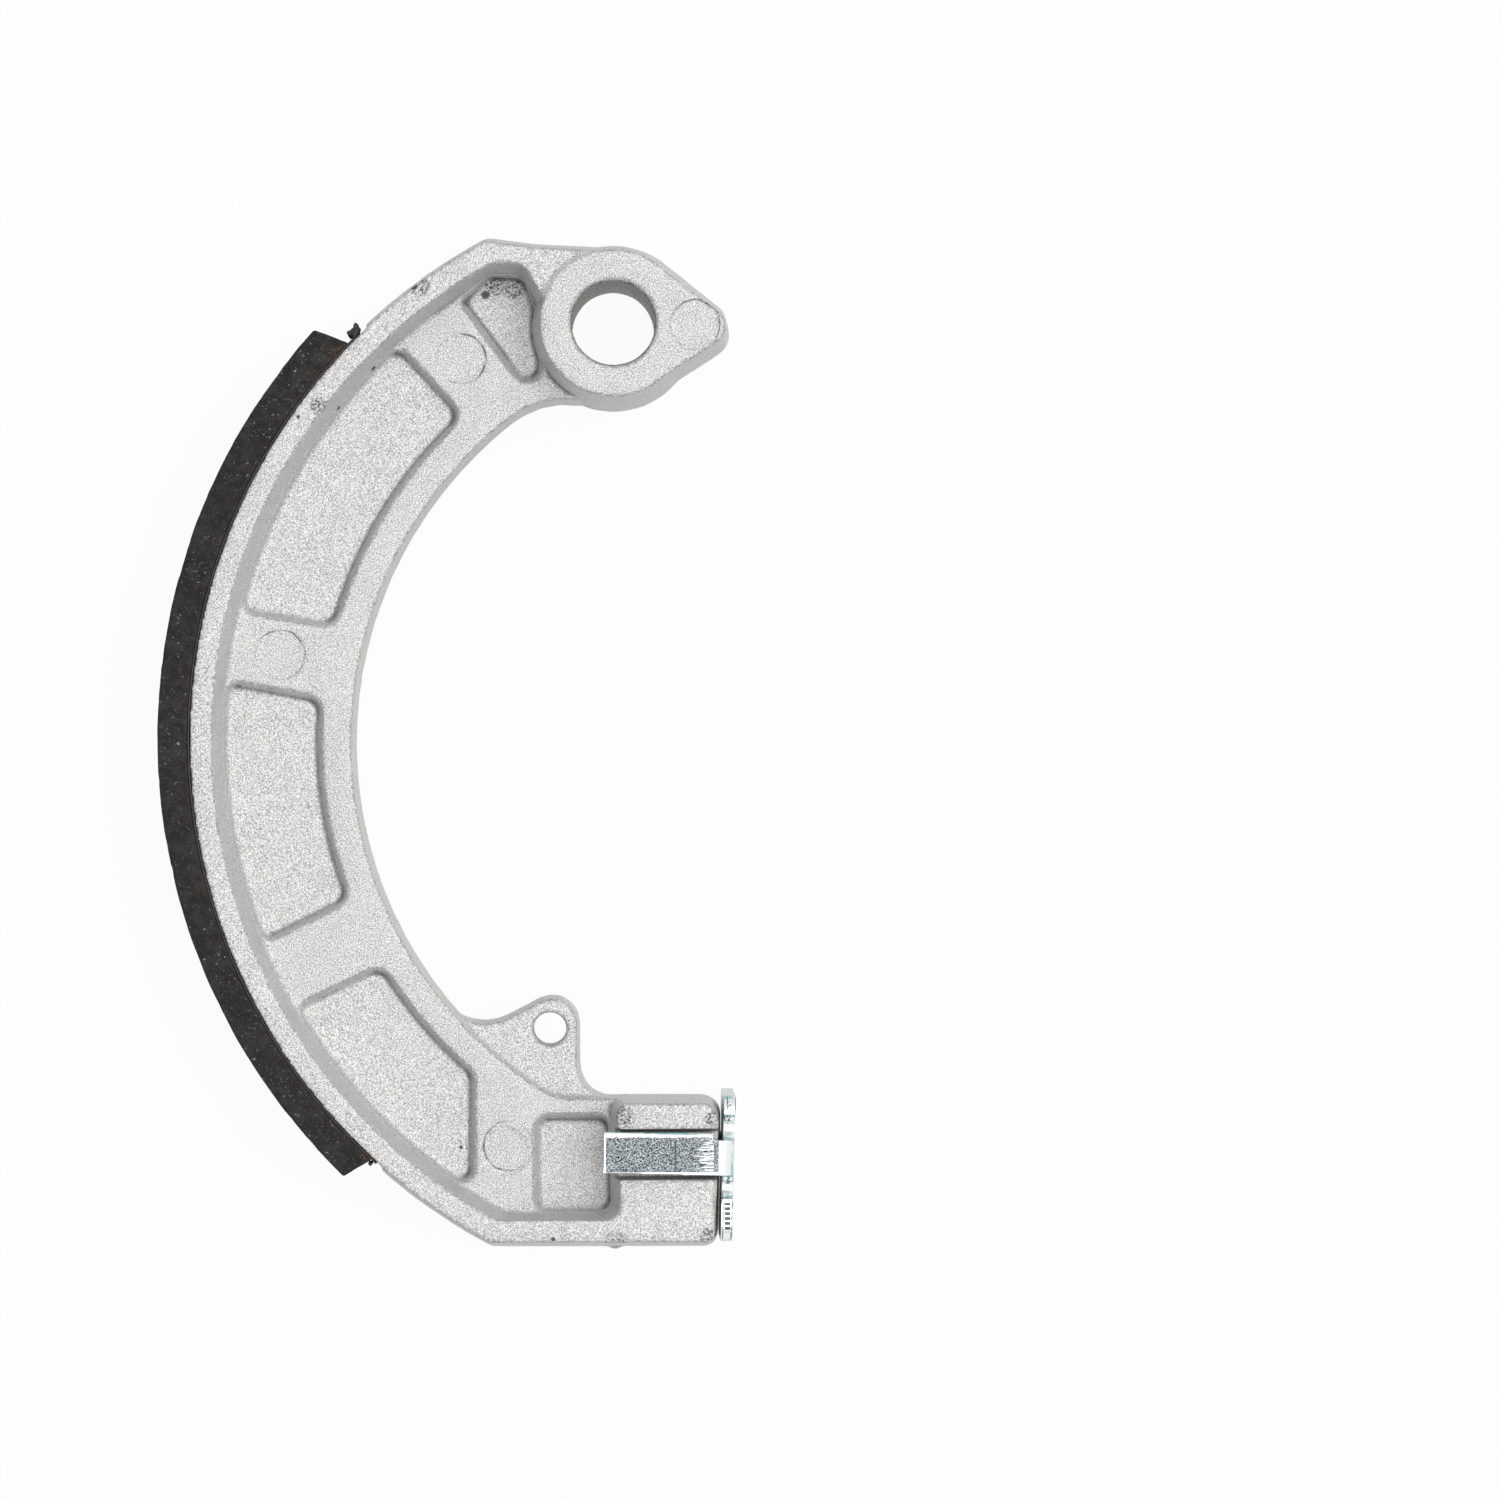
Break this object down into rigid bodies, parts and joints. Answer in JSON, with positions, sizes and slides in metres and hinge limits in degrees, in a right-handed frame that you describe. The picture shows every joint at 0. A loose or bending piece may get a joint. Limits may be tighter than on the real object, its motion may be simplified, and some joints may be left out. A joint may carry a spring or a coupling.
{
  "type": "drum brake shoe",
  "caption": "Curved drum brake shoe with an anchor eye, a bonded friction lining, a spring lug and a folded steel cap on its cam end.",
  "frame": {"origin": "where the axis of the anchor bore meets the plane of the far side face, on which the shoe lies", "axes": "+Z along the anchor bore to the near side face, +Y from the cam end to the anchor end, +X from the lining to the open side"},
  "size_m": [0.0711, 0.1262, 0.0245],
  "materials": {
    "cast_aluminium": "as cast, finely grained",
    "friction_material": "ground, matte",
    "adhesive": "cured, satin",
    "zinc_plated_steel": "bright zinc, scratched at the folds"
  },
  "bodies": {
    "root": {"shoe_casting": "cast_aluminium", "friction_lining": "friction_material", "bond_line": "adhesive", "cam_end_cap": "zinc_plated_steel"}
  },
  "joints": []
}
